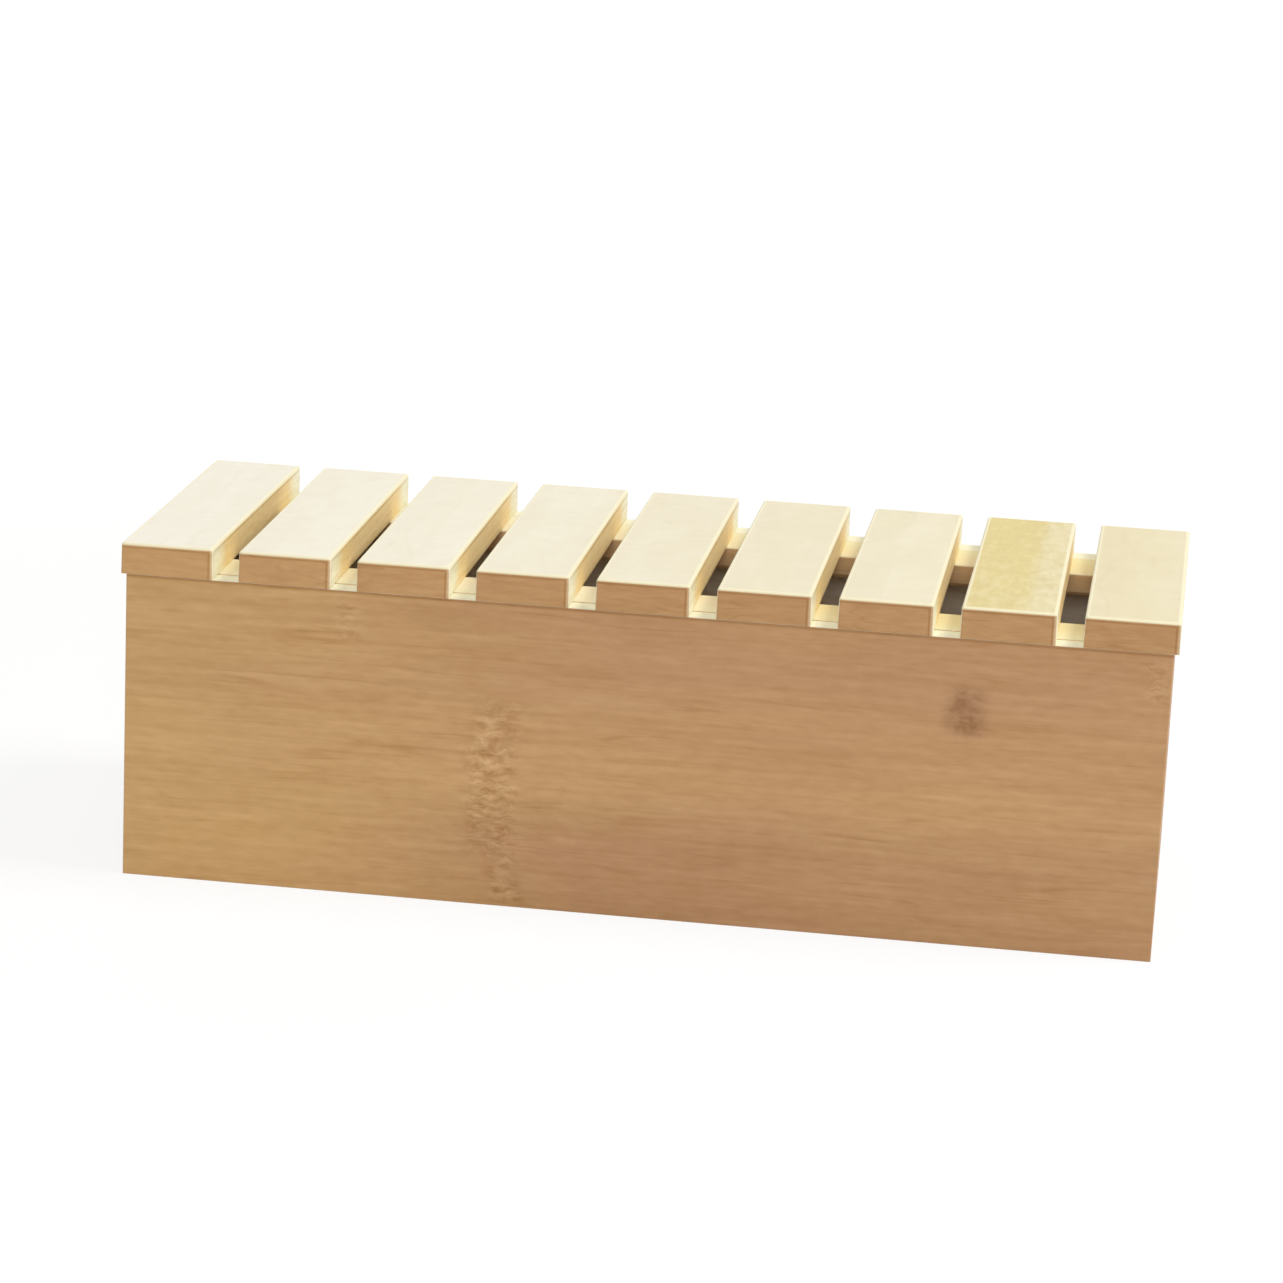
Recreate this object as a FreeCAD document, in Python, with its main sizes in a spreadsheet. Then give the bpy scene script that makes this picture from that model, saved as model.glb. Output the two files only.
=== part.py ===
"""Bamboo case with a lift-off slatted lid.

The case is four boards rebated together at the corners, with a thin floor board held in a groove that
runs round the inside. The lid is a row of flat slats lying across the case, screwed from below to two
long battens. The battens drop inside the front and rear walls and stop the lid from shifting, and the
slat undersides rest on the top edges of the walls. The slats stand apart, so that leads or light pass
between them.

Frame: millimetres, +X along the case, +Y towards the rear, +Z up. The origin is on the surface that the
case stands on, under its centre.
"""
import FreeCAD, Part
import math
import os

import Sketcher

SHEET = "Sizes"

# Driving dimensions, in millimetres except for the count.
SIZES = {
    "slat_count": 9,
    "slat_width": 35.0,
    "slat_gap": 10.0,
    "slat_thickness": 12.0,
    "slat_arris": 1.0,
    "slat_seat_arris": 0.4,
    "end_overhang": 2.0,
    "case_depth": 150.0,
    "wall_height": 118.0,
    "wall_thickness": 10.0,
    "wall_arris": 0.6,
    "rebate_depth": 5.0,
    "floor_thickness": 6.0,
    "floor_height": 8.0,
    "floor_edge_clearance": 0.3,
    "floor_slip": 0.2,
    "groove_depth": 4.0,
    "batten_width": 25.0,
    "batten_thickness": 9.0,
    "batten_clearance": 0.5,
    "batten_arris": 0.8,
    "batten_lead_in": 1.5,
    "screw_length": 16.0,
    "screw_diameter": 3.0,
    "screw_head_diameter": 6.0,
    "screw_tip_length": 3.0,
    "screw_sink": 0.3,
    "screw_hole_clearance": 0.2,
    "pilot_clearance": 0.05,
    "pilot_extra_depth": 0.5,
    "recess_depth": 1.1,
    "recess_length": 3.0,
    "recess_width": 0.7,
}


def cell(alias):
    """The expression that reads one driving dimension from the sheet."""
    return f"{SHEET}.{alias}"


# Lengths that follow from the driving dimensions, as expressions.
PITCH = f"({cell('slat_width')} + {cell('slat_gap')})"
LID_LENGTH = f"({cell('slat_count')} * {PITCH} - {cell('slat_gap')})"
CASE_LENGTH = f"({LID_LENGTH} - 2 * {cell('end_overhang')})"
INSIDE_LENGTH = f"({CASE_LENGTH} - 2 * {cell('wall_thickness')})"
INSIDE_DEPTH = f"({cell('case_depth')} - 2 * {cell('wall_thickness')})"
END_PANEL_LENGTH = f"({INSIDE_DEPTH} + 2 * {cell('rebate_depth')})"
GROOVE_TOP = f"({cell('floor_height')} + {cell('floor_thickness')} + {cell('floor_slip')})"
FLOOR_GRIP = f"({cell('groove_depth')} - {cell('floor_edge_clearance')})"
BATTEN_LENGTH = f"({INSIDE_LENGTH} - 2 * {cell('batten_clearance')})"
BATTEN_OFFSET = f"({INSIDE_DEPTH} / 2 - {cell('batten_clearance')} - {cell('batten_width')} / 2)"
BATTEN_HEIGHT = f"({cell('wall_height')} - {cell('batten_thickness')})"
FIRST_SLAT = f"(-({cell('slat_count')} - 1) * {PITCH} / 2)"
HEAD_HEIGHT = f"(({cell('screw_head_diameter')} - {cell('screw_diameter')}) / 2)"
SCREW_HOLE_RADIUS = f"({cell('screw_diameter')} / 2 + {cell('screw_hole_clearance')})"
PILOT_RADIUS = f"({cell('screw_diameter')} / 2 + {cell('pilot_clearance')})"
PILOT_DEPTH = (
    f"({cell('screw_sink')} + {cell('screw_length')} - {cell('batten_thickness')}"
    f" + {cell('pilot_extra_depth')})"
)


def make_sheet(doc):
    """Writes the driving dimensions into the spreadsheet, one named cell each."""
    sheet = doc.addObject("Spreadsheet::Sheet", SHEET)
    for row, (alias, size) in enumerate(SIZES.items(), start=1):
        sheet.set(f"A{row}", alias)
        sheet.set(f"B{row}", str(size))
        sheet.setAlias(f"B{row}", alias)
    doc.recompute()
    return sheet


def make_body(doc, label):
    """An empty body under its own label."""
    body = doc.addObject("PartDesign::Body", label)
    body.Label = label
    return body


def origin_item(body, role):
    """One of the body's own origin planes or axes, found by its role."""
    return next(item for item in body.Origin.OriginFeatures if item.Role == role)


def make_sketch(body, name, plane="XY_Plane"):
    """A sketch on one of the body's own origin planes."""
    sketch = body.newObject("Sketcher::SketchObject", f"{body.Name}_{name}")
    sketch.AttachmentSupport = (origin_item(body, plane), [""])
    sketch.MapMode = "FlatFace"
    return sketch


def hold(sketch, value, kind, *where):
    """Adds one dimension to a sketch and drives it by an expression."""
    held = sketch.addConstraint(Sketcher.Constraint(kind, *where))
    sketch.setExpression(f"Constraints[{held}]", value)


def add_outline(sketch, corners):
    """Draws a closed outline whose corners are pairs of expressions, each held from the sketch's origin.

    The corners start on a small circle, and their dimensions move them into place. The name of the line
    that closes the outline is returned.
    """
    count = len(corners)
    first = sketch.GeometryCount
    starts = [
        FreeCAD.Vector(10 * math.cos(2 * math.pi * index / count), 10 * math.sin(2 * math.pi * index / count), 0)
        for index in range(count)
    ]
    for index in range(count):
        sketch.addGeometry(Part.LineSegment(starts[index], starts[(index + 1) % count]), False)
    for index in range(count):
        joint = (first + index, 2, first + (index + 1) % count, 1)
        sketch.addConstraint(Sketcher.Constraint("Coincident", *joint))
    for index, (across, up) in enumerate(corners):
        hold(sketch, across, "DistanceX", -1, 1, first + index, 1, starts[index].x)
        hold(sketch, up, "DistanceY", -1, 1, first + index, 1, starts[index].y)
    return f"Edge{first + count}"


def add_rectangle(sketch, left, right, low, high):
    """Draws a rectangle from the expressions for its four sides."""
    add_outline(sketch, [(left, low), (right, low), (right, high), (left, high)])


def add_circle(sketch, across, up, radius):
    """Draws a circle from the expressions for its centre and radius."""
    start = Part.Circle(FreeCAD.Vector(1, 1, 0), FreeCAD.Vector(0, 0, 1), 1)
    circle = sketch.addGeometry(start, False)
    hold(sketch, across, "DistanceX", -1, 1, circle, 3, 1)
    hold(sketch, up, "DistanceY", -1, 1, circle, 3, 1)
    hold(sketch, radius, "Radius", circle, 1)


def add_pad(body, name, sketch, length, both_ways=False):
    """Raises a sketch into a solid, on one side of its plane or evenly on both."""
    pad = body.newObject("PartDesign::Pad", f"{body.Name}_{name}")
    pad.Profile = sketch
    pad.setExpression("Length", length)
    pad.SideType = "Symmetric" if both_ways else "One side"
    return pad


def add_pocket(body, name, sketch, length):
    """Cuts a sketch upwards into the solid above its plane."""
    pocket = body.newObject("PartDesign::Pocket", f"{body.Name}_{name}")
    pocket.Profile = sketch
    pocket.setExpression("Length", length)
    pocket.Reversed = True
    return pocket


def add_pattern(body, name, originals):
    """Repeats features along X, once for each slat of the lid."""
    pattern = body.newObject("PartDesign::LinearPattern", f"{body.Name}_{name}")
    pattern.Originals = originals
    pattern.Direction = (origin_item(body, "X_Axis"), [""])
    pattern.Mode = "Spacing"
    pattern.setExpression("Offset", PITCH)
    pattern.setExpression("Occurrences", cell("slat_count"))
    body.Tip = pattern
    return pattern


def edges_where(feature, test):
    """Names of the feature's straight edges whose two ends both pass the test."""
    return [
        f"Edge{number}"
        for number, edge in enumerate(feature.Shape.Edges, start=1)
        if not edge.Degenerated and edge.Curve.TypeId == "Part::GeomLine"
        and all(test(vertex.Point) for vertex in edge.Vertexes)
    ]


def ease(body, name, base, edges, radius):
    """Rounds the named edges of a feature."""
    fillet = body.newObject("PartDesign::Fillet", f"{body.Name}_{name}")
    fillet.Base = (base, edges)
    fillet.setExpression("Radius", radius)
    return fillet


def place(body, x="0", y="0", z="0", turn=0.0):
    """Puts a body at the point given by three expressions, turned about the vertical."""
    body.Placement = FreeCAD.Placement(
        FreeCAD.Vector(), FreeCAD.Rotation(FreeCAD.Vector(0, 0, 1), turn)
    )
    for axis, value in zip("xyz", (x, y, z)):
        body.setExpression(f"Placement.Base.{axis}", value)


def grooved_section():
    """Corners of a wall's cross-section, outer face at zero, with the floor groove cut in its inner face."""
    inner = cell("wall_thickness")
    groove = f"{cell('wall_thickness')} - {cell('groove_depth')}"
    return [
        ("0", "0"),
        (inner, "0"),
        (inner, cell("floor_height")),
        (groove, cell("floor_height")),
        (groove, GROOVE_TOP),
        (inner, GROOVE_TOP),
        (inner, cell("wall_height")),
        ("0", cell("wall_height")),
    ]


def close_to(value, target):
    """True where two lengths are the same to within rounding."""
    return abs(value - target) < 1e-6


def make_long_panel(doc, sheet, label):
    """A front or rear board: full length, grooved for the floor, rebated at both ends for the end boards."""
    body = make_body(doc, label)
    section = make_sketch(body, "section", "YZ_Plane")
    add_outline(section, grooved_section())
    board = add_pad(body, "board", section, CASE_LENGTH, both_ways=True)

    rebates = make_sketch(body, "rebates")
    half = f"{CASE_LENGTH} / 2"
    shoulder = f"{INSIDE_LENGTH} / 2"
    floor_of_rebate = f"{cell('wall_thickness')} - {cell('rebate_depth')}"
    add_rectangle(rebates, shoulder, half, floor_of_rebate, cell("wall_thickness"))
    add_rectangle(rebates, f"-{half}", f"-{shoulder}", floor_of_rebate, cell("wall_thickness"))
    doc.recompute()
    cut = add_pocket(body, "rebate_cut", rebates, cell("wall_height"))
    doc.recompute()

    outer_edges = edges_where(cut, lambda point: close_to(point.y, 0))
    top_inner = edges_where(
        cut,
        lambda point: close_to(point.y, sheet.wall_thickness) and close_to(point.z, sheet.wall_height),
    )
    ease(body, "arris", cut, outer_edges + top_inner, cell("wall_arris"))
    return body


def make_end_panel(doc, sheet, label):
    """A left or right board: it sits in the rebates of the long boards and carries the floor's groove."""
    body = make_body(doc, label)
    section = make_sketch(body, "section", "XZ_Plane")
    add_outline(section, grooved_section())
    board = add_pad(body, "board", section, END_PANEL_LENGTH, both_ways=True)
    doc.recompute()
    outer_top = edges_where(
        board, lambda point: close_to(point.x, 0) and close_to(point.z, sheet.wall_height)
    )
    outer_foot = edges_where(board, lambda point: close_to(point.x, 0) and close_to(point.z, 0))
    ease(body, "arris", board, outer_top + outer_foot, cell("wall_arris"))
    return body


def make_floor(doc):
    """The floor board, held in the groove on all four sides."""
    body = make_body(doc, "floor_panel")
    outline = make_sketch(body, "outline")
    half_length = f"({INSIDE_LENGTH} / 2 + {FLOOR_GRIP})"
    half_depth = f"({INSIDE_DEPTH} / 2 + {FLOOR_GRIP})"
    add_rectangle(outline, f"-{half_length}", half_length, f"-{half_depth}", half_depth)
    add_pad(body, "board", outline, cell("floor_thickness"))
    place(body, z=cell("floor_height"))
    return body


def make_slat(doc, sheet, number):
    """One slat, with two pilot holes in its underside and every arris eased, the ones round its seat less."""
    body = make_body(doc, f"lid_slat_{number}")
    outline = make_sketch(body, "outline")
    half_width = f"{cell('slat_width')} / 2"
    half_depth = f"{cell('case_depth')} / 2"
    add_rectangle(outline, f"-{half_width}", half_width, f"-{half_depth}", half_depth)
    board = add_pad(body, "board", outline, cell("slat_thickness"))
    doc.recompute()

    seat = edges_where(board, lambda point: close_to(point.z, 0))
    upper_and_upright = [name for name in edges_where(board, lambda point: True) if name not in seat]
    rounded = ease(body, "arris", board, upper_and_upright, cell("slat_arris"))
    doc.recompute()
    around_seat = edges_where(rounded, lambda point: close_to(point.z, 0))
    ease(body, "seat_arris", rounded, around_seat, cell("slat_seat_arris"))
    doc.recompute()

    pilots = make_sketch(body, "pilots")
    add_circle(pilots, "0", BATTEN_OFFSET, PILOT_RADIUS)
    add_circle(pilots, "0", f"-{BATTEN_OFFSET}", PILOT_RADIUS)
    add_pocket(body, "pilot_holes", pilots, PILOT_DEPTH)
    place(body, x=f"{FIRST_SLAT} + {number - 1} * {PITCH}", z=cell("wall_height"))
    return body


def make_batten(doc, sheet, label, side):
    """A batten under the slats, chamfered below as a lead-in, with a countersunk hole under each slat."""
    body = make_body(doc, label)
    outline = make_sketch(body, "outline")
    half_length = f"{BATTEN_LENGTH} / 2"
    half_width = f"{cell('batten_width')} / 2"
    add_rectangle(outline, f"-{half_length}", half_length, f"-{half_width}", half_width)
    board = add_pad(body, "board", outline, cell("batten_thickness"))
    doc.recompute()

    inner = -side * sheet.batten_width / 2
    upper_inner = edges_where(
        board,
        lambda point: close_to(point.y, inner) and close_to(point.z, sheet.batten_thickness),
    )
    eased = ease(body, "arris", board, upper_inner, cell("batten_arris"))
    doc.recompute()
    lead_in = body.newObject("PartDesign::Chamfer", f"{label}_lead_in")
    lead_in.Base = (eased, edges_where(eased, lambda point: close_to(point.z, 0)))
    lead_in.setExpression("Size", cell("batten_lead_in"))
    doc.recompute()

    hole = make_sketch(body, "screw_hole", "XZ_Plane")
    sink = cell("screw_sink")
    hole_axis = add_outline(hole, [
        (FIRST_SLAT, "0"),
        (f"{FIRST_SLAT} + {HEAD_HEIGHT} + {SCREW_HOLE_RADIUS}", "0"),
        (f"{FIRST_SLAT} + {HEAD_HEIGHT} + {SCREW_HOLE_RADIUS}", sink),
        (f"{FIRST_SLAT} + {SCREW_HOLE_RADIUS}", f"{sink} + {HEAD_HEIGHT}"),
        (f"{FIRST_SLAT} + {SCREW_HOLE_RADIUS}", cell("batten_thickness")),
        (FIRST_SLAT, cell("batten_thickness")),
    ])
    doc.recompute()
    cut = body.newObject("PartDesign::Groove", f"{label}_countersunk_hole")
    cut.Profile = hole
    cut.ReferenceAxis = (hole, [hole_axis])
    cut.Angle = 360
    doc.recompute()
    add_pattern(body, "holes", [cut])
    place(body, y=f"{side} * {BATTEN_OFFSET}", z=BATTEN_HEIGHT)
    return body


def make_screws(doc, label, side):
    """The countersunk wood screws of one batten, heads down, one under each slat."""
    body = make_body(doc, label)
    body.AllowCompound = True
    profile = make_sketch(body, "profile", "XZ_Plane")
    shank = f"{FIRST_SLAT} + {cell('screw_diameter')} / 2"
    screw_axis = add_outline(profile, [
        (FIRST_SLAT, "0"),
        (f"{FIRST_SLAT} + {cell('screw_head_diameter')} / 2", "0"),
        (shank, HEAD_HEIGHT),
        (shank, f"{cell('screw_length')} - {cell('screw_tip_length')}"),
        (FIRST_SLAT, cell("screw_length")),
    ])
    doc.recompute()
    turned = body.newObject("PartDesign::Revolution", f"{label}_turned")
    turned.Profile = profile
    turned.ReferenceAxis = (profile, [screw_axis])
    turned.Angle = 360
    doc.recompute()

    cross = make_sketch(body, "cross_recess")
    long_half = f"{cell('recess_length')} / 2"
    short_half = f"{cell('recess_width')} / 2"
    add_outline(cross, [
        (f"{FIRST_SLAT} {across} {reach_x}", f"{up} {reach_y}")
        for across, reach_x, up, reach_y in (
            ("+", long_half, "-", short_half),
            ("+", long_half, "+", short_half),
            ("+", short_half, "+", short_half),
            ("+", short_half, "+", long_half),
            ("-", short_half, "+", long_half),
            ("-", short_half, "+", short_half),
            ("-", long_half, "+", short_half),
            ("-", long_half, "-", short_half),
            ("-", short_half, "-", short_half),
            ("-", short_half, "-", long_half),
            ("+", short_half, "-", long_half),
            ("+", short_half, "-", short_half),
        )
    ])
    doc.recompute()
    recess = add_pocket(body, "recess", cross, cell("recess_depth"))
    doc.recompute()
    add_pattern(body, "row", [turned, recess])
    place(body, y=f"{side} * {BATTEN_OFFSET}", z=f"{BATTEN_HEIGHT} + {cell('screw_sink')}")
    return body


def make_case(doc, sheet):
    """The four boards and the floor."""
    half_depth = f"{cell('case_depth')} / 2"
    half_length = f"{CASE_LENGTH} / 2"
    front = make_long_panel(doc, sheet, "front_panel")
    place(front, y=f"-{half_depth}")
    rear = make_long_panel(doc, sheet, "rear_panel")
    place(rear, y=half_depth, turn=180)
    left = make_end_panel(doc, sheet, "left_end_panel")
    place(left, x=f"-{half_length}")
    right = make_end_panel(doc, sheet, "right_end_panel")
    place(right, x=half_length, turn=180)
    return [front, rear, left, right, make_floor(doc)]


def make_lid(doc, sheet):
    """The slats, the two battens below them and the screws that join them."""
    parts = [make_slat(doc, sheet, number) for number in range(1, int(sheet.slat_count) + 1)]
    for name, side in (("front", -1), ("rear", 1)):
        parts.append(make_batten(doc, sheet, f"{name}_lid_batten", side))
        parts.append(make_screws(doc, f"{name}_slat_screws", side))
    return parts


def check(doc, parts):
    """Stops the build if anything in the document failed or a piece is not a sound solid."""
    failed = [item.Name for item in doc.Objects if {"Invalid", "Error"} & set(item.State)]
    unsound = [part.Label for part in parts if part.Shape.isNull() or not part.Shape.isValid()]
    if failed or unsound:
        raise RuntimeError(f"failed features: {failed}; unsound pieces: {unsound}")


def main():
    """Builds the document and writes one file for each piece."""
    doc = FreeCAD.newDocument("slatted_lid_case")
    sheet = make_sheet(doc)
    parts = make_case(doc, sheet) + make_lid(doc, sheet)
    doc.recompute()
    check(doc, parts)
    os.makedirs("parts", exist_ok=True)
    for part in parts:
        part.Shape.exportStep(f"parts/{part.Label}.step")
        box = part.Shape.BoundBox
        solids = len(part.Shape.Solids)
        print(f"{part.Label}: {solids} solid(s), {part.Shape.Volume:.1f} mm3,"
              f" {box.XLength:.2f} x {box.YLength:.2f} x {box.ZLength:.2f} mm")


main()
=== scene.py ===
"""A bamboo box with a slatted lid, dressed and lit for its portrait.

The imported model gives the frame: metres, +X along the box, +Y to the rear, +Z up, standing on z = 0. The
four walls and the nine slats get new surfaces with eased edges, and every board gets a bamboo finish whose
grain runs the way its board was cut. The battens, the floor and the screws keep their own shapes.
"""
from __future__ import annotations

import logging
import math
from dataclasses import dataclass, field, replace
from enum import Enum
from typing import Any, Callable, Sequence

import bmesh
import bpy
import numpy as np
from mathutils import Matrix, Vector

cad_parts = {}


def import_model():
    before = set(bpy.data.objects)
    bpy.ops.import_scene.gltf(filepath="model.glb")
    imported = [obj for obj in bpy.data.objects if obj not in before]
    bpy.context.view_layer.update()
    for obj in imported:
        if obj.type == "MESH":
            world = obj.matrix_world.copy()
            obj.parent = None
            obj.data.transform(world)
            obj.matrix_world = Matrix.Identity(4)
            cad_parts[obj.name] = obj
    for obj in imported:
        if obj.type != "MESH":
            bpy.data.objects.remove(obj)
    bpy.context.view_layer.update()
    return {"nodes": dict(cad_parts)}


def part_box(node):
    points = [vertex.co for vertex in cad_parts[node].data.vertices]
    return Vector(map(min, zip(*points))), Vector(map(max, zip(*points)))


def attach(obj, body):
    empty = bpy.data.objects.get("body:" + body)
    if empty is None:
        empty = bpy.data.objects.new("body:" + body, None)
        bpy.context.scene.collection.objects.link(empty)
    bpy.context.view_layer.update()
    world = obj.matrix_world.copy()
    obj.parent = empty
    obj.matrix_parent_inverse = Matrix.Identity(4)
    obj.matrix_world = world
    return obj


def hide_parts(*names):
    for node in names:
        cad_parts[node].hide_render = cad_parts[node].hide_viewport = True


LOG = logging.getLogger("slatted_box")
MM = 0.001
SEAM = 1e-7  # Points of a seam lie closer than this, in metres.
CREASE = math.radians(35)  # An edge that turns by more than this stays sharp.
WHITE = (1.0, 1.0, 1.0, 1.0)


class Axis(Enum):
    """An axis of the box, by its place in a coordinate."""

    X = 0
    Y = 1
    Z = 2


@dataclass(frozen=True)
class Tone:
    """A colour as a paint chart gives it, in steps from 0 to 255."""

    red: float
    green: float
    blue: float

    def linear(self) -> tuple[float, float, float, float]:
        """The same colour as scene-linear light, with an alpha of 1."""
        shares = np.array([self.red, self.green, self.blue]) / 255.0
        light = np.where(shares <= 0.04045, shares / 12.92, ((shares + 0.055) / 1.055) ** 2.4)
        return (*map(float, light), 1.0)

    def towards(self, other: Tone, share: float) -> Tone:
        """The tone that lies a share of the way to another."""
        mine = np.array([self.red, self.green, self.blue])
        theirs = np.array([other.red, other.green, other.blue])
        return Tone(*map(float, mine + (theirs - mine) * share))


# The finishes' tones. The lid is pale on top, and the case and the sawn ends are honey coloured. What faces
# up is paler partly in the wood's own tone and partly as painted light from above.
HONEY = Tone(213, 171, 114)
ROSE_HONEY = Tone(193, 148, 104)
KNOT = Tone(164, 120, 82)
STRAW = Tone(255, 250, 222)
YELLOW_STRAW = Tone(245, 233, 178)
CREAM = Tone(245, 238, 218)
WARM_CREAM = Tone(236, 223, 183)
YELLOW_STAIN = Tone(226, 207, 138)
# Painted highlight on eased edges.
HIGHLIGHT_CREAM = Tone(252, 243, 206)
SLAT_SIDE = Tone(254, 230, 174)
SLAT_END = Tone(207, 162, 109)
ROSE_END = Tone(194, 148, 100)
BATTEN_SIDE = Tone(226, 187, 138)
# Painted shade on the walls' upper arrises, under the lid.
SHADED_ARRIS = Tone(168, 118, 76)
UNLACQUERED = Tone(244, 231, 212)


def both_ways(operation: str) -> tuple[Callable[[Link, Any], Link], Callable[[Link, Any], Link]]:
    """The methods of a link for an operator and for its reflected form, by the Math node's operation."""

    def forward(self: Link, other: Any) -> Link:
        """This first, and the other second."""
        return self._combine(operation, self, other)

    def reflected(self: Link, other: Any) -> Link:
        """The other first, and this second."""
        return self._combine(operation, other, self)

    return forward, reflected


class Link:
    """A socket of a node tree that can be written in sums, so that shader maths reads as maths."""

    def __init__(self, graph: Graph, socket: bpy.types.NodeSocket) -> None:
        """Wraps one output socket.

        Args:
            graph: The tree that the socket belongs to.
            socket: The output socket.
        """
        self.graph = graph
        self.socket = socket

    @property
    def is_vector(self) -> bool:
        """True for a vector or a colour."""
        return self.socket.type in {"VECTOR", "RGBA"}

    def _combine(self, operation: str, left: Any, right: Any) -> Link:
        """Adds the Math or Vector Math node for one operation."""
        sides = (left, right)
        vector = any(
            isinstance(side, tuple) or (isinstance(side, Link) and side.is_vector) for side in sides
        )
        kind = "ShaderNodeVectorMath" if vector else "ShaderNodeMath"
        if vector:
            left, right = (side if isinstance(side, (Link, tuple)) else (side,) * 3 for side in sides)
        return self.graph.node(kind, {"operation": operation}, {0: left, 1: right})

    __add__, __radd__ = both_ways("ADD")
    __sub__, __rsub__ = both_ways("SUBTRACT")
    __mul__, __rmul__ = both_ways("MULTIPLY")
    __truediv__, __rtruediv__ = both_ways("DIVIDE")

    def __abs__(self) -> Link:
        """This without its sign."""
        return self.graph.node("ShaderNodeMath", {"operation": "ABSOLUTE"}, {0: self})

    def whole(self) -> Link:
        """The whole number below this."""
        return self.graph.node("ShaderNodeMath", {"operation": "FLOOR"}, {0: self})

    def rise(self, start: float, end: float) -> Link:
        """A smooth step from 0 at start to 1 at end, which may be the lower of the two.

        Args:
            start: Where the step begins.
            end: Where it is complete.

        Returns:
            The step, between 0 and 1.
        """
        low, high, first, last = (start, end, 0.0, 1.0) if start < end else (end, start, 1.0, 0.0)
        return self.graph.node(
            "ShaderNodeMapRange",
            {"interpolation_type": "SMOOTHSTEP"},
            {"Value": self, "From Min": low, "From Max": high, "To Min": first, "To Max": last},
        )


class Graph:
    """The node tree of one material or world."""

    def __init__(self, tree: bpy.types.NodeTree) -> None:
        """Starts with an empty tree.

        Args:
            tree: The tree to fill.
        """
        self.tree = tree
        self.tree.nodes.clear()

    def node(
        self, kind: str, settings: dict[str, Any], inputs: dict[Any, Any], output: Any = None
    ) -> Link:
        """Adds a node, sets it up and joins its sockets.

        Args:
            kind: The node's type name.
            settings: Its own settings, set before its sockets.
            inputs: A value or link for each socket, by its name or number.
            output: The name or number of the output wanted, or None for the first that is in use.

        Returns:
            The wanted output.
        """
        made = self.tree.nodes.new(kind)
        for name, value in settings.items():
            setattr(made, name, value)
        for key, value in inputs.items():
            socket = made.inputs[key]
            if isinstance(value, Link):
                self.tree.links.new(value.socket, socket)
            else:
                socket.default_value = value
        usable = [socket for socket in made.outputs if socket.enabled]
        if not usable:
            return Link(self, None)
        return Link(self, usable[0] if output is None else made.outputs[output])

    def blend(self, low: Any, high: Any, share: Any) -> Link:
        """One colour turning into another as share goes from 0 to 1."""
        return self.node(
            "ShaderNodeMix", {"data_type": "RGBA"}, {"Factor": share, 6: low, 7: high}, 2
        )

    def noise(self, place: Link, detail: float = 2.0, roughness: float = 0.55) -> Link:
        """Smooth noise about zero at a place that is already scaled."""
        level = self.node(
            "ShaderNodeTexNoise",
            {"noise_dimensions": "3D"},
            {"Vector": place, "Scale": 1.0, "Detail": detail, "Roughness": roughness},
            0,
        )
        return level - 0.5


@dataclass(frozen=True)
class NodeMark:
    """A ring of the bamboo stem, where it crosses one strip or more of a board.

    Attributes:
        along: Its place along the grain, in metres.
        low: Its lower end across the grain, in metres.
        high: Its upper end across the grain, in metres.
        half_length: How far it feathers out along the grain, in metres.
        strength: How strong its ripples are, from 0 to 1.
        lean: How far its upper end lies along the grain from its lower one, in metres.
        shade: How much of the knot's tone it takes, from 0 to 1.
        core: How much of its half length is at full strength, from 0 to 1.
        soft: How far it fades out across the grain, either side of its ends, in metres.
    """

    along: float
    low: float
    high: float
    half_length: float = 9 * MM
    strength: float = 0.5
    lean: float = 0.0
    shade: float = 0.1
    core: float = 0.0
    soft: float = 1.5 * MM

    def share(self, along: Link, over: Link) -> Link:
        """How much of the ring shows at a place: a bell along the grain times a plateau across it.

        The bell's middle leans in proportion to the height.

        Args:
            along: The place along the grain.
            over: The place across it.

        Returns:
            The share, between 0 and 1.
        """
        middle = self.along + (over - self.low) * (self.lean / (self.high - self.low))
        bell = abs(along - middle).rise(self.half_length, self.half_length * self.core)
        starts = over.rise(self.low - self.soft, self.low + self.soft)
        return bell * starts * over.rise(self.high + self.soft, self.high - self.soft)


@dataclass(frozen=True)
class Pattern:
    """How fine a noise is, in cycles per metre along the grain, across it and through the board."""

    along: float
    across: float
    through: float

    def scaled(self, along: float, over: float) -> Pattern:
        """The same pattern, finer by one factor along the grain, and by another across and through it."""
        return Pattern(self.along * along, self.across * over, self.through * over)


# How fine the noises are that all boards share.
SWAY = Pattern(14.0, 40.0, 40.0)
LINE_BREAKS = Pattern(26.0, 80.0, 80.0)
MOTTLE = Pattern(110.0, 290.0, 290.0)
RING_WOBBLE = Pattern(190.0, 170.0, 170.0)
RING_RIPPLE = Pattern(120.0, 400.0, 400.0)
BAND_CYCLES = 8.0  # Of the soft bands, along the grain.
SEED_STEPS = (7.3, 3.1, 5.7)  # How far a seed of 1 moves the noises.

# Steps on one part of a surface's normal: where a look starts to show, and is complete.
SQUARE_ON = (0.45, 0.9)
EDGE_ON = (0.5, 0.1)
LEVEL = (0.6, 0.98)
TILTED = (0.05, 0.5)
NOT_LEVEL = (0.995, 0.93)

# Steps on a distance, in metres.
OUTER_STEP = (0.0, 6 * MM)  # From the middle of the box towards where the surface faces.
INNER_STEP = (0.6 * MM, 0.1 * MM)  # Past the unlacquered inner face.
RIM_STEP = (-1.6 * MM, -0.4 * MM)  # Up to the rim.
FOOT_STEP = (54 * MM, 34 * MM)  # Down to the foot.
FOOT_START = (-160 * MM, -40 * MM)  # Along the grain, over which the foot's shade sets in.

# Steps on the edge attribute, which is 1 on an edge and about 0.5 where its rounding ends.
LINE_MIDDLE = 0.28  # Of the dark line, which fades out over as much on either side.
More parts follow.
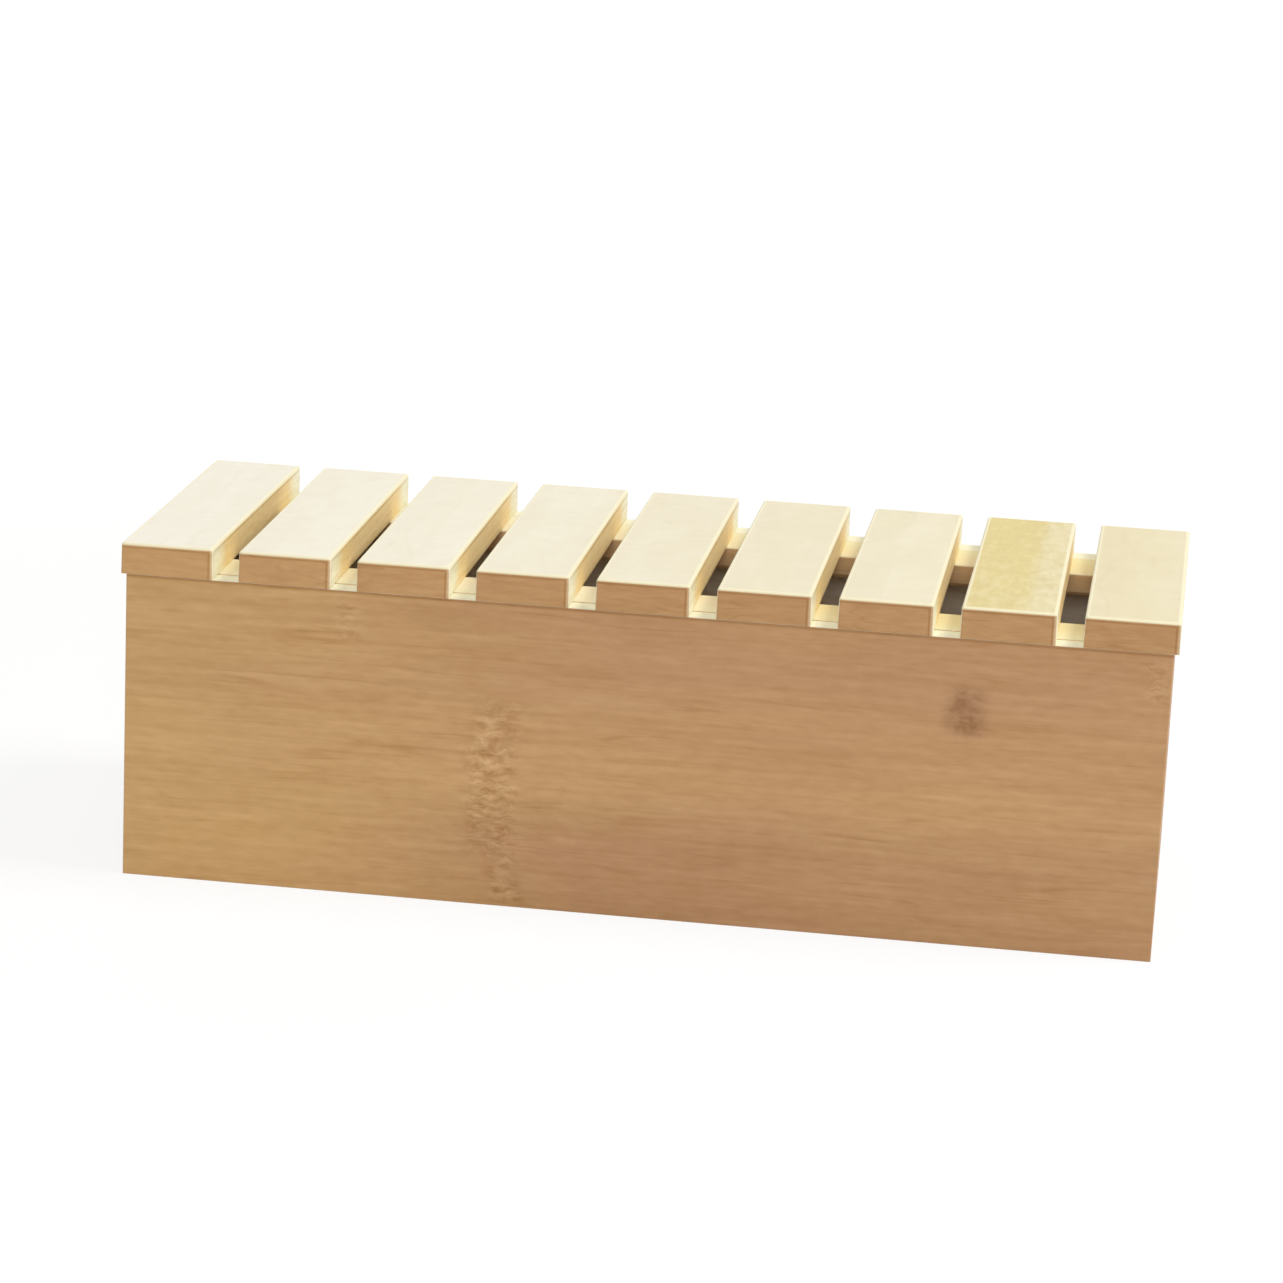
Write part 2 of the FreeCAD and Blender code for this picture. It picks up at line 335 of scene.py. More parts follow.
# The painted highlight on the eased edges follows these steps.
HIGHLIGHT_STEP = (0.5, 0.72)
LEVEL_GAIN = 0.22  # How much nearer to an edge a level surface counts as.

# How strong the smaller parts of the finish are.
LINE_WIDTH = 0.035  # Of a thin line, on the noise whose zeros it follows.
BREAK_STEP = (-0.04, 0.12)  # On the noise that breaks the thin lines up.
EDGE_LINE_DEPTH = 0.24
STRIP_OFFSET = 40.0  # Keeps the numbers of the strips above zero.
STRIP_CONTRAST = 0.03
RIM_SHADE = 0.3
RING_GAIN = 1.4
KNOT_MOTTLE = 1.8
FIBRE_RELIEF = 0.5
FIBRE_SATIN = 0.08
BUMP = {"Strength": 0.25, "Distance": 0.08 * MM}
SHEEN = 0.35


@dataclass(frozen=True)
class Drift:
    """A second tone that a board turns to, in clouds and along the grain.

    Attributes:
        tone: The second tone.
        clouds: How much the clouds count.
        base: How much of the tone there is without them.
        rise: How much more there is at the far end of a span along the grain.
        span: The span's start and end, in metres.
    """

    tone: Tone
    clouds: float
    base: float
    rise: float = 0.0
    span: tuple[float, float] = (-100 * MM, 160 * MM)

    def turned(self, colour: Any, cloud: Link, along: Link) -> Link:
        """A colour turned to the second tone, by the clouds and the place along the grain."""
        share = cloud * self.clouds + along.rise(*self.span) * self.rise + self.base
        return cloud.graph.blend(colour, self.tone.linear(), share)


@dataclass(frozen=True)
class Stain:
    """A tone that has soaked into a board in mottles, most of all on one side.

    Attributes:
        tone: The tone.
        edge: Where its stronger side ends across the grain, in metres.
        softness: How far it fades out on either side of that edge.
        wander: How far the clouds move the edge, for a cloud of 1.
        base: How much of the tone the weaker side has.
        side: How much more the stronger side has.
        rise: How much more that side has at the far end of a span along the grain.
        span: The span's start and end, in metres.
        mottles: How much the mottles count.
        shade: How much the mottles darken the board.
    """

    tone: Tone
    edge: float
    softness: float = 4 * MM
    wander: float = 20 * MM
    base: float = 0.46
    side: float = 0.42
    rise: float = 0.2
    span: tuple[float, float] = (-90 * MM, 70 * MM)
    mottles: float = 1.35
    shade: float = 0.2

    def soaked(
        self, colour: Link, upward: Link, cloud: Link, mottle: Link, along: Link, over: Link
    ) -> Link:
        """A colour soaked with the tone where it faces up, by the clouds, the mottles and the place."""
        side = (over + cloud * self.wander - self.edge).rise(self.softness, -self.softness)
        share = side * self.side + along.rise(*self.span) * side * self.rise
        share = share + mottle * self.mottles + self.base
        colour = cloud.graph.blend(colour, self.tone.linear(), share * upward)
        return colour * (mottle * upward * -self.shade + 1.0)


@dataclass(frozen=True)
class Bamboo:
    """Pressed, planed and lacquered bamboo.

    Attributes:
        name: The material's name.
        grain: The axis that the fibres run along.
        across: The axis that the strips lie along, side by side.
        face: The tone of what faces up, paler partly as painted light from above.
        flank: The tone of what faces sideways.
        end: The tone of the sawn ends, where it differs.
        flank_drift: The second tone of the flanks, or None.
        face_drift: The second tone of the face, or None.
        painted_lit_ends: The paler tone of the flanks near both ends of the grain, where it differs: painted
            light where the gaps between the slats open.
        painted_lit_reach: How far from the middle the flanks start to turn to it, and have it, in metres.
        inside: The tone of an unlacquered inner face, or None.
        inner_face: How far that face lies from the middle of the box, in metres.
        seed: A number that sets this board's grain apart.
        strip: The width of one strip, in metres.
        fibres: How fine the fibres are.
        clouds: How fine the clouds of tone are.
        fibre_contrast: How strong the fibres are.
        fleck_contrast: How strong the short flecks among them are.
        band_contrast: How strong the soft bands are.
        line_contrast: How dark the thin broken lines are.
        fibre_sway: How far the fibres sway across the grain, in metres for a noise of 1.
        ring_wobble: How far they do in a ring.
        depth: How much of the grain each of red, green and blue takes.
        calm: How much of the grain is hidden where the board faces up.
        marks: The rings that cross the board.
        stain: What has soaked into its face, or None.
        foot_shade: How much painted shade darkens the board towards its foot, away from the grain's low end,
            from 0 to 1.
        rim: The height of the rim that the lid shades, or None, in metres.
        painted_edge_highlight: How much of the painted highlight tone the marked edges show, from 0 to 1.
        arris: A tone painted on every outward edge that tilts upwards, or None: painted shade on the walls, a
            painted highlight on the battens.
        arris_share: How much of it shows.
        roughness: The satin of the lacquer.
    """

    name: str
    grain: Axis
    across: Axis
    face: Tone
    flank: Tone
    end: Tone | None = None
    flank_drift: Drift | None = None
    face_drift: Drift | None = None
    painted_lit_ends: Tone | None = None
    painted_lit_reach: tuple[float, float] = (50 * MM, 66 * MM)
    inside: Tone | None = None
    inner_face: float = 0.0
    seed: float = 0.0
    strip: float = 19.67 * MM
    fibres: Pattern = Pattern(20.0, 380.0, 380.0)
    clouds: Pattern = Pattern(6.0, 20.0, 20.0)
    fibre_contrast: float = 0.37
    fleck_contrast: float = 0.22
    band_contrast: float = 0.1
    line_contrast: float = 0.1
    fibre_sway: float = 1.6 * MM
    ring_wobble: float = 7 * MM
    depth: tuple[float, float, float] = (0.86, 1.18, 1.8)
    calm: float = 0.75
    marks: tuple[NodeMark, ...] = ()
    stain: Stain | None = None
    foot_shade: float = 0.0
    rim: float | None = None
    painted_edge_highlight: float = 0.0
    arris: Tone | None = None
    arris_share: float = 0.8
    roughness: float = 0.5

    @property
    def through(self) -> Axis:
        """The axis through the board's thickness."""
        return next(axis for axis in Axis if axis not in (self.grain, self.across))

    def _noise(
        self, graph: Graph, place: Link, pattern: Pattern, detail: float = 2.0, roughness: float = 0.55
    ) -> Link:
        """Noise in the board's own directions, moved by its seed, and mostly between -0.2 and 0.2."""
        counts = [0.0, 0.0, 0.0]
        counts[self.grain.value] = pattern.along
        counts[self.across.value] = pattern.across
        counts[self.through.value] = pattern.through
        shift = tuple(step * self.seed for step in SEED_STEPS)
        return graph.noise(place * tuple(counts) + shift, detail, roughness)

    def _moved(self, graph: Graph, place: Link, distance: Link) -> Link:
        """The place, moved across the grain by a distance in metres."""
        return place + graph.node("ShaderNodeCombineXYZ", {}, {self.across.value: distance})

    def _ground(
        self, graph: Graph, place: Link, spot: dict[Axis, Link], facing: dict[Axis, Link], cloud: Link
    ) -> Link:
        """The board's tone before its grain: by where it faces, with the clouds, the inside and the stain.
        What faces up takes the paler face tone, partly as painted light from above.
        """
        along, over = spot[self.grain], spot[self.across]
        upward = facing[Axis.Z].rise(*SQUARE_ON)
        colour: Any = self.flank.linear()
        if self.flank_drift is not None:
            colour = self.flank_drift.turned(colour, cloud, along)
        # Painted light: the flanks turn paler near both ends of the grain, where the gaps between the slats
        # open.
        if self.painted_lit_ends is not None:
            colour = graph.blend(colour, self.painted_lit_ends.linear(), abs(along).rise(*self.painted_lit_reach))
        if self.end is not None:
            colour = graph.blend(colour, self.end.linear(), abs(facing[self.grain]).rise(*SQUARE_ON))
        if self.inside is not None:
            within = (abs(spot[self.through]) - self.inner_face).rise(*INNER_STEP)
            colour = graph.blend(colour, self.inside.linear(), within)
        face: Any = self.face.linear()
        if self.face_drift is not None:
            face = self.face_drift.turned(face, cloud, along)
        # Painted light, in part: what faces up turns to the paler face tone, as light from above would make
        # it.
        colour = graph.blend(colour, face, upward)
        if self.stain is not None:
            mottle = self._noise(graph, place, MOTTLE, detail=3.0, roughness=0.6)
            colour = self.stain.soaked(colour, upward, cloud, mottle, along, over)
        return colour

    def _edges(self, graph: Graph, facing: dict[Axis, Link], outer: Link, colour: Link) -> Link:
        """Paints a highlight on the marked eased edges, with a thin dark line on the flank just below them.

        The edge attribute is 1 on an edge and falls to 0 at its reach. The dark line is a bell below the
        value where the rounding ends. An arris takes its painted shade or painted highlight only where outer
        is 1, on the side away from the middle of the box.
        """
        if self.painted_edge_highlight > 0:
            edge = graph.node("ShaderNodeAttribute", {"attribute_name": "edge"}, {}, "Fac")
            line = abs(edge - LINE_MIDDLE).rise(LINE_MIDDLE, 0.0) * facing[Axis.Z].rise(*EDGE_ON)
            colour = colour * (line * self.depth * -EDGE_LINE_DEPTH + 1.0)
            # Painted highlight: the marked edges, and level surfaces near them, turn to the cream tone.
            glow = (edge + facing[Axis.Z].rise(*LEVEL) * LEVEL_GAIN).rise(*HIGHLIGHT_STEP)
            colour = graph.blend(colour, HIGHLIGHT_CREAM.linear(), glow * self.painted_edge_highlight)
        if self.arris is not None:
            tilt = facing[Axis.Z].rise(*TILTED) * facing[Axis.Z].rise(*NOT_LEVEL)
            colour = graph.blend(colour, self.arris.linear(), tilt * outer * self.arris_share)
        return colour

    def _grain(self, graph: Graph, place: Link) -> tuple[Link, Link]:
        """The fibres, and the grain that they are a part of.

        The grain is the fibres, the flecks and the bands, each a noise about zero, less thin lines, which
        lie where a fourth noise crosses zero and are broken up by a fifth.
        """
        sway = self._noise(graph, place, SWAY, detail=1.0)
        swayed = self._moved(graph, place, sway * self.fibre_sway)
        fibre = self._noise(graph, swayed, self.fibres, detail=3.0, roughness=0.62)
        fleck = self._noise(graph, swayed, self.fibres.scaled(7.0, 1.1))
        band = self._noise(graph, swayed, replace(self.fibres.scaled(1.0, 0.25), along=BAND_CYCLES))
        crossing = abs(self._noise(graph, swayed, self.fibres.scaled(0.45, 0.45), detail=1.0))
        broken = self._noise(graph, place, LINE_BREAKS).rise(*BREAK_STEP)
        thin_line = crossing.rise(LINE_WIDTH, 0.0) * broken
        grain = fibre * self.fibre_contrast + fleck * self.fleck_contrast
        return fibre, grain + band * self.band_contrast - thin_line * self.line_contrast

    def _rings(self, graph: Graph, place: Link, along: Link, over: Link) -> tuple[Link, Link]:
        """The ripples of the rings, about zero, and how much of the knot's tone the rings take."""
        wobble = self._noise(graph, place, RING_WOBBLE, roughness=0.6)
        moved = self._moved(graph, place, wobble * self.ring_wobble)
        ripple = self._noise(graph, moved, RING_RIPPLE, detail=3.0, roughness=0.65)
        shares = [(mark, mark.share(along, over)) for mark in self.marks]
        ring = sum(share * mark.strength for mark, share in shares)
        shade = sum(share * mark.shade for mark, share in shares)
        return ring * ripple, shade * (wobble * KNOT_MOTTLE + 1.0)

    def material(self) -> bpy.types.Material:
        """Builds the finish.

        The strips' own tones and the rings' ripples are added to the grain, and the rim's shade is taken
        off. Red, green and blue each take their own share of that, and one plus it, less the foot's
        shade, multiplies the ground tone.

        Returns:
            The material.
        """
        made = bpy.data.materials.new(self.name)
        made.use_nodes = True
        graph = Graph(made.node_tree)
        place = graph.node("ShaderNodeTexCoord", {}, {}, "Object")
        normal = graph.node("ShaderNodeTexCoord", {}, {}, "Normal")
        spot = {axis: graph.node("ShaderNodeSeparateXYZ", {}, {0: place}, axis.value) for axis in Axis}
        facing = {axis: graph.node("ShaderNodeSeparateXYZ", {}, {0: normal}, axis.value) for axis in Axis}
        along, over = spot[self.grain], spot[self.across]
        outer = (spot[self.through] * facing[self.through]).rise(*OUTER_STEP)
        upward = facing[Axis.Z].rise(*SQUARE_ON)

        fibre, grain = self._grain(graph, place)
        cloud = self._noise(graph, place, self.clouds, detail=1.0)
        strip_number = (over / self.strip + STRIP_OFFSET).whole()
        chance = graph.node(
            "ShaderNodeTexWhiteNoise", {"noise_dimensions": "1D"}, {"W": strip_number + self.seed}, 0
        )
        level = grain * (1.0 - upward * self.calm) + (chance - 0.5) * STRIP_CONTRAST
        light: Any = 1.0
        # Painted shade, darker towards the foot of the board.
        if self.foot_shade > 0:
            foot = spot[Axis.Z].rise(*FOOT_STEP) * along.rise(*FOOT_START)
            light = 1.0 - foot * self.foot_shade
        if self.rim is not None:
            level = level - (spot[Axis.Z] - self.rim).rise(*RIM_STEP) * (1.0 - upward) * RIM_SHADE
        colour = self._ground(graph, place, spot, facing, cloud)
        relief = fibre * FIBRE_RELIEF
        if self.marks:
            ripples, knot = (part * outer for part in self._rings(graph, place, along, over))
            colour = graph.blend(colour, KNOT.linear(), knot)
            level = level + ripples * RING_GAIN
            relief = relief + ripples
        colour = self._edges(graph, facing, outer, colour * (level * self.depth + light))

        bump = graph.node("ShaderNodeBump", {}, {**BUMP, "Height": relief}, 0)
        shader = graph.node(
            "ShaderNodeBsdfPrincipled",
            {},
            {
                "Base Color": colour, "Roughness": fibre * FIBRE_SATIN + self.roughness, "Normal": bump,
                "Specular IOR Level": SHEEN,
            },
            0,
        )
        graph.node("ShaderNodeOutputMaterial", {}, {"Surface": shader})
        return made


@dataclass(frozen=True)
class ScrewSteel:
    """Zinc-plated steel with a fine grit.

    Attributes:
        name: The material's name.
        tone: Its tone.
        grit: How fine its grit is, in cycles per metre along X, Y and Z.
        grit_depth: How much the grit changes its roughness.
        roughness: Its roughness without the grit.
    """

    name: str = "screw_steel"
    tone: Tone = Tone(202, 199, 190)
    grit: tuple[float, float, float] = (900.0, 900.0, 2600.0)
    grit_depth: float = 0.3
    roughness: float = 0.36

    def material(self) -> bpy.types.Material:
        """Builds the finish: metal whose roughness follows a fine noise."""
        made = bpy.data.materials.new(self.name)
        made.use_nodes = True
        graph = Graph(made.node_tree)
        place = graph.node("ShaderNodeTexCoord", {}, {}, "Object")
        roughness = graph.noise(place * self.grit) * self.grit_depth + self.roughness
        shader = graph.node(
            "ShaderNodeBsdfPrincipled",
            {},
            {"Base Color": self.tone.linear(), "Metallic": 1.0, "Roughness": roughness},
            0,
        )
        graph.node("ShaderNodeOutputMaterial", {}, {"Surface": shader})
        return made


@dataclass
class Surface:
    """A closed surface as arrays.

    Attributes:
        points: One row of three for each point, in metres.
        quads: One row of four point numbers for each face.
        caps: Flat faces with more corners, as arrays of point numbers.
        edge: How near each point is to an eased edge that takes the painted highlight, from 0 to 1, or None
            where no finish asks.
    """

    points: np.ndarray
    quads: np.ndarray
    caps: list[np.ndarray] = field(default_factory=list)
    edge: np.ndarray | None = None

    def to_piece(self, name: str, material: bpy.types.Material) -> bpy.types.Object:
        """Puts the arrays into a mesh, joins its seams and turns its faces outwards.

        Args:
            name: The piece's name.
            material: Its finish.

        Returns:
            The piece, at the origin.
        """
        mesh = bpy.data.meshes.new(name)
        faces = self.quads.tolist() + [cap.tolist() for cap in self.caps]
        mesh.from_pydata(self.points.tolist(), [], faces)
        if self.edge is not None:
            layer = mesh.attributes.new("edge", "FLOAT", "POINT")
            layer.data.foreach_set("value", self.edge.astype(np.float32))
        shell = bmesh.new()
        shell.from_mesh(mesh)
        bmesh.ops.remove_doubles(shell, verts=shell.verts, dist=SEAM)
        bmesh.ops.dissolve_degenerate(shell, edges=shell.edges, dist=SEAM)
        bmesh.ops.recalc_face_normals(shell, faces=shell.faces)
        shell.to_mesh(mesh)
        shell.free()
        mesh.shade_smooth()
        mesh.set_sharp_from_angle(angle=CREASE)
        mesh.materials.append(material)
        piece = bpy.data.objects.new(name, mesh)
        bpy.context.scene.collection.objects.link(piece)
        even = piece.modifiers.new("even_shading", "WEIGHTED_NORMAL")
        even.keep_sharp = True
        return piece


def spaced(low: float, high: float, step: float) -> np.ndarray:
    """Evenly spaced places from low to high, no further apart than step."""
    return np.linspace(low, high, max(2, math.ceil((high - low) / step) + 1))


def edge_share(distance: np.ndarray, reach: float) -> np.ndarray:
    """One at an edge, falling in a straight line to zero at the reach."""
    return np.clip(1.0 - distance / reach, 0.0, 1.0)


@dataclass
class RoundedBlock:
    """A board with every edge eased, larger above than below.

    Attributes:
        low: Its lowest corner.
        high: Its highest corner.
        top_radius: The radius of the upper edges, in metres.
        seat_radius: The radius of the lower edges, in metres.
        cells: How long a cell of the grid may be, in metres.
        arc_steps: How many cells half of a rounded edge gets.
        highlight_reach: How far from an edge the edge attribute, the painted highlight's mask, falls to zero,
            in metres.
        upright_limit: The most that the attribute may be on an upright edge.
    """

    low: np.ndarray
    high: np.ndarray
    top_radius: float
    seat_radius: float
    cells: float = 6 * MM
    arc_steps: int = 4
    highlight_reach: float = 2.2 * MM
    upright_limit: float = 0.58

    def _ticks(self, half: float) -> np.ndarray:
        """Places along one axis, from one face to the other.

        In the flat they are evenly spaced. Within the edge's radius they are the radius times the tangent
        of evenly spaced angles up to 45 degrees, so that the rounded edge gets even steps.
        """
        turns = np.tan(np.linspace(0, math.pi / 4, self.arc_steps + 1))[1:] * self.top_radius
        flat_end = half - self.top_radius
        glow_line = half - self.highlight_reach
        flat = spaced(-glow_line, glow_line, self.cells)
        return np.concatenate([-(flat_end + turns)[::-1], [-flat_end], flat, [flat_end], flat_end + turns])

    def surface(self) -> Surface:
        """Works out the six sides and eases their edges.

        Each side is a grid of two parameters. A point is pulled to the inner box, which is the board
        shrunk by the edge radius, and pushed out again by the radius along the line to where it was. The
        radius goes in a straight line from the seat's to the top's over the board's thickness.

        Returns:
            The surface.
        """
        centre, half = (self.low + self.high) / 2, (self.high - self.low) / 2
        ticks = [self._ticks(float(size)) for size in half]
        points, quads, start = [], [], 0
        for normal_axis in range(3):
            first, second = (axis for axis in range(3) if axis != normal_axis)
            grid_u, grid_v = np.meshgrid(ticks[first], ticks[second], indexing="ij")
            rows, columns = grid_u.shape
            numbers = np.arange(rows * columns).reshape(rows, columns)
            corners = np.stack(
                [numbers[:-1, :-1], numbers[1:, :-1], numbers[1:, 1:], numbers[:-1, 1:]], axis=-1
            ).reshape(-1, 4)
            for side in (-1.0, 1.0):
                sheet = np.empty((rows * columns, 3))
                sheet[:, first], sheet[:, second] = grid_u.ravel(), grid_v.ravel()
                sheet[:, normal_axis] = side * half[normal_axis]
                points.append(sheet)
                quads.append(corners + start)
                start += rows * columns
        lattice = np.concatenate(points)
        share = (lattice[:, 2] + half[2]) / (2 * half[2])
        radius = (self.seat_radius + (self.top_radius - self.seat_radius) * share)[:, None]
        inner = np.clip(lattice, -(half - radius), half - radius)
        away = lattice - inner
        eased = inner + radius * away / np.linalg.norm(away, axis=1)[:, None]
        gap = half - np.abs(eased)
        below_top = half[2] - eased[:, 2]
        # The painted highlight's mask: the upper edges, and the upright edges on the right, which face the
        # right lamp.
        from_upper = np.hypot(np.minimum(gap[:, 0], gap[:, 1]), below_top)
        from_upright = np.hypot(half[0] - eased[:, 0], gap[:, 1])
        upright = np.minimum(edge_share(from_upright, self.highlight_reach), self.upright_limit)
        near = np.maximum(edge_share(from_upper, self.highlight_reach), upright)
        return Surface(eased + centre, np.concatenate(quads), edge=near)


@dataclass
class WallShape:
    """A wall of the case: one section, with the floor's groove, carried along the board.

    The long walls are rebated at both ends.

    Attributes:
        length: The board's length, in metres.
        height: Its height.
        thickness: Its thickness.
        arris: The radius of its eased edges.
        lip: The thickness left at the rebated ends, or None where the ends are square.
        shoulder: How far from the middle the rebates start.
        groove: The groove's lower edge, upper edge and depth.
        cells: How long a cell of the surface may be.
        arc_steps: How many cells a quarter turn gets.
    """

    length: float
    height: float
    thickness: float
    arris: float
    lip: float | None
    shoulder: float
    groove: tuple[float, float, float]
    cells: float = 6 * MM
    arc_steps: int = 4

    def _arc(self, inward: float, up: float, start: float) -> np.ndarray:
        """A quarter turn about a point of the section, clockwise from an angle in degrees."""
        angles = np.radians(np.linspace(start, start - 90, self.arc_steps + 1))
        return np.stack([inward + self.arris * np.cos(angles), up + self.arris * np.sin(angles)], axis=1)

    def _line(self, axis: Axis, fixed: float, start: float, end: float) -> np.ndarray:
        """Evenly spaced points of a straight stretch, inward on X or up on Y, without its two ends."""
        count = max(2, math.ceil(abs(end - start) / self.cells) + 1)
        run = np.linspace(start, end, count)[1:-1]
        held = np.full_like(run, fixed)
        return np.stack([run, held] if axis is Axis.X else [held, run], axis=1)

    def section(self) -> np.ndarray:
        """The outline of the wall, as inward and upward distances from the foot of its outer face.

        It goes up the outer face, over the top between two quarter turns, down the inner face, round the
        three sides of the groove, and back along the foot.
        """
        top, depth, ease = self.height, self.thickness, self.arris
        groove_low, groove_high, groove_depth = self.groove
        return np.concatenate([
            self._arc(ease, ease, 270),
            self._line(Axis.Y, 0.0, ease, top - ease),
            self._arc(ease, top - ease, 180),
            self._line(Axis.X, top, ease, depth - ease),
            self._arc(depth - ease, top - ease, 90),
            self._line(Axis.Y, depth, top - ease, groove_high),
            [[depth, groove_high], [depth - groove_depth, groove_high]],
            [[depth - groove_depth, groove_low], [depth, groove_low]],
            [[depth, 0.0]],
            self._line(Axis.X, 0.0, depth, ease),
        ])

    def _stations(self) -> np.ndarray:
        """Places along the board: even in the middle, doubled at the shoulders, closer at the ends."""
        end = self.length / 2
        turn = end - self.arris + self.arris * np.sin(np.linspace(0, math.pi / 2, self.arc_steps + 1))
        if self.lip is None:
            return np.concatenate([-turn[::-1], spaced(-turn[0], turn[0], self.cells)[1:-1], turn])
        half = np.concatenate([[self.shoulder, self.shoulder], turn])
        return np.concatenate([-half[::-1], spaced(-self.shoulder, self.shoulder, self.cells)[1:-1], half])

    def surface(self, rounded_ends: bool) -> Surface:
        """Carries the section along the board.

        At each station the inward distance is held between two limits. The lower one is the radius times
        one less the cosine of the end's turn, which eases the outer face's upright edges. The upper one is
        the thickness, or the lip's past a shoulder.

        Args:
            rounded_ends: True where the outer face's upright edges are eased.

        Returns:
            The surface, in the wall's own frame: along, inward, up.
        """
        outline, stations = self.section(), self._stations()
        count, points_round = len(stations), len(outline)
        into_turn = np.clip((np.abs(stations) - (self.length / 2 - self.arris)) / self.arris, 0.0, 1.0)
        inset = self.arris * (1.0 - np.sqrt(1.0 - into_turn**2)) if rounded_ends else np.zeros(count)
        reach = np.full(count, self.thickness)
        if self.lip is not None:
            order = np.arange(count)
            reach[(order <= self.arc_steps + 1) | (order >= count - self.arc_steps - 2)] = self.lip
        inward = np.clip(outline[None, :, 0], inset[:, None], reach[:, None])
        up = np.broadcast_to(outline[None, :, 1], inward.shape)
        along = np.broadcast_to(stations[:, None], inward.shape)
        points = np.stack([along, inward, up], axis=-1).reshape(-1, 3)
        numbers = np.arange(count * points_round).reshape(count, points_round)
        onward = np.roll(numbers, -1, axis=1)
        quads = np.stack([numbers[:-1], onward[:-1], onward[1:], numbers[1:]], axis=-1).reshape(-1, 4)
        return Surface(points, quads, [numbers[0], numbers[-1]])


@dataclass
class Case:
    """The four walls and the floor.

    Attributes:
        arris: The radius of the walls' eased edges, in metres.
        rebate_lip: The thickness left at the ends of the long walls.
        groove_depth: The depth of the floor's groove.
        floor_slip: The play above the floor in its groove.
        front_marks: The rings that the front board shows, strip by strip from the foot up.
        rear_marks: The rings of the rear board.
        end_marks: The rings of both end boards.
    """

    arris: float = 0.6 * MM
    rebate_lip: float = 5 * MM
    groove_depth: float = 4 * MM
    floor_slip: float = 0.2 * MM
    front_marks: tuple[NodeMark, ...] = (
        NodeMark(-46 * MM, 2 * MM, 20 * MM, strength=0.9, lean=-5 * MM, core=0.3),
        NodeMark(-53 * MM, 20 * MM, 60 * MM, half_length=13 * MM, strength=0.82, lean=-2 * MM, core=0.3),
        NodeMark(-54 * MM, 60 * MM, 80 * MM, half_length=12 * MM, strength=0.75, lean=3 * MM, core=0.3),
        NodeMark(-56 * MM, 25 * MM, 75 * MM, half_length=26 * MM, strength=0.25, shade=0.0, soft=8 * MM),
        NodeMark(-30 * MM, 20 * MM, 66 * MM, half_length=16 * MM, strength=0.16, shade=0.0, soft=8 * MM),
        NodeMark(
            121.5 * MM, 82 * MM, 98.5 * MM, half_length=11 * MM, strength=0.85, shade=0.98, core=0.12,
            soft=4 * MM,
        ),
        NodeMark(-110 * MM, 99 * MM, 115 * MM, half_length=9 * MM, strength=0.65, shade=0.05),
        NodeMark(190 * MM, 99 * MM, 115 * MM, half_length=8 * MM, strength=0.8, shade=0.0),
    )
    rear_marks: tuple[NodeMark, ...] = (
        NodeMark(60 * MM, 20 * MM, 59 * MM, strength=0.6),
        NodeMark(-130 * MM, 60 * MM, 98 * MM),
    )
    end_marks: tuple[NodeMark, ...] = (NodeMark(22 * MM, 39 * MM, 79 * MM, strength=0.55),)

    def _wall(self, node: str, name: str, bamboo: Bamboo) -> None:
        """Makes one wall in the place of its board. The front and rear are rebated for the ends.

        Args:
            node: The board's node.
            name: The piece's name.
            bamboo: Its finish, whose grain runs along the board.
        """
        low, high = (np.array(corner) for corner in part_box(node))
        floor_low, floor_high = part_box("floor_panel")
        centre = (low + high) / 2
        long_wall = bamboo.grain is Axis.X
        grain = bamboo.grain.value
        deep = 1 - grain
        outer = low[deep] if centre[deep] < 0 else high[deep]
        inward = 1.0 if centre[deep] < 0 else -1.0
        thickness = float(high[deep] - low[deep])
        length = float(high[grain] - low[grain])
        shape = WallShape(
            length=length,
            height=float(high[2] - low[2]),
            thickness=thickness,
            arris=self.arris,
            lip=self.rebate_lip if long_wall else None,
            shoulder=length / 2 - thickness,
            groove=(floor_low.z, floor_high.z + self.floor_slip, self.groove_depth),
        )
        surface = shape.surface(rounded_ends=long_wall)
        placed = np.empty_like(surface.points)
        placed[:, grain] = surface.points[:, 0] + centre[grain]
        placed[:, deep] = outer + inward * surface.points[:, 1]
        placed[:, 2] = surface.points[:, 2] + low[2]
        surface.points = placed
        piece = surface.to_piece(name, bamboo.material())
        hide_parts(node)
        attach(piece, "case")
        LOG.info("wall %s: %d faces", name, len(piece.data.polygons))

    def build(self, nodes: dict[str, bpy.types.Object]) -> None:
        """Makes the walls and finishes the floor.

        Args:
            nodes: The frame's nodes by name.
        """
        front_high, left_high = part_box("front_panel")[1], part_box("left_end_panel")[1]
        front = Bamboo(
            name="bamboo_front", grain=Axis.X, across=Axis.Z, face=STRAW, flank=ROSE_HONEY,
            flank_drift=Drift(HONEY, clouds=1.6, base=0.05, rise=0.8, span=(30 * MM, -190 * MM)),
            inside=UNLACQUERED, inner_face=abs(front_high.y), seed=1.0, marks=self.front_marks,
            foot_shade=0.06, rim=front_high.z, arris=SHADED_ARRIS, arris_share=0.7,
        )
        rear = replace(front, name="bamboo_rear", seed=2.0, marks=self.rear_marks)
        left = replace(
            front, name="bamboo_left", grain=Axis.Y, seed=3.0, inner_face=abs(left_high.x),
            marks=self.end_marks,
        )
        right = replace(left, name="bamboo_right", seed=4.0)
        self._wall("front_panel", "front_wall", front)
        self._wall("rear_panel", "rear_wall", rear)
        self._wall("left_end_panel", "left_wall", left)
        self._wall("right_end_panel", "right_wall", right)
        floor = Bamboo(
            name="bamboo_floor", grain=Axis.X, across=Axis.Y, face=UNLACQUERED, flank=UNLACQUERED, seed=5.0,
            calm=0.3,
        )
        dress(nodes["floor_panel"], floor.material())


